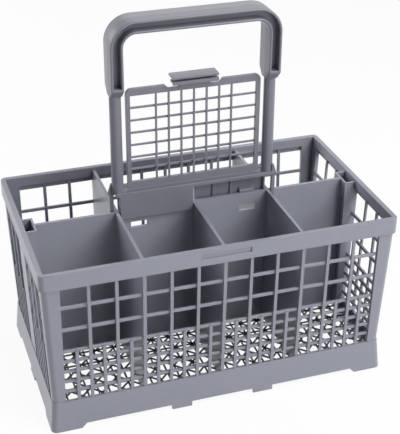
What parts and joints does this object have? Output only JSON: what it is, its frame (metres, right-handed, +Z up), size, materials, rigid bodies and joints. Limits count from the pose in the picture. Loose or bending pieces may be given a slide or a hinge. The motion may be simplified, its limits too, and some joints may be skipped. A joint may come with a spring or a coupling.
{
  "type": "dishwasher cutlery basket",
  "caption": "Pierced plastic cutlery basket for a dishwasher, with upright partitions, a clip-on carrying handle and a hinged grid lid between the handle's legs.",
  "frame": {"origin": "centre of the basket's footprint, on the surface that the feet stand on", "axes": "+Z up, X along the basket's length, the catch for the lid faces -Y"},
  "size_m": [0.24, 0.137, 0.2537],
  "materials": {
    "grey_plastic": "moulded polypropylene, fine satin grain"
  },
  "bodies": {
    "basket": {"basket": "grey_plastic", "handle": "grey_plastic"},
    "lid": {"lid": "grey_plastic"}
  },
  "joints": [
    {"name": "lid_hinge", "type": "hinge", "parent": "basket", "child": "lid", "pos_m": [0, 0, 0.1386], "axis": [1, 0, 0], "range_deg": [-102, 99]}
  ]
}
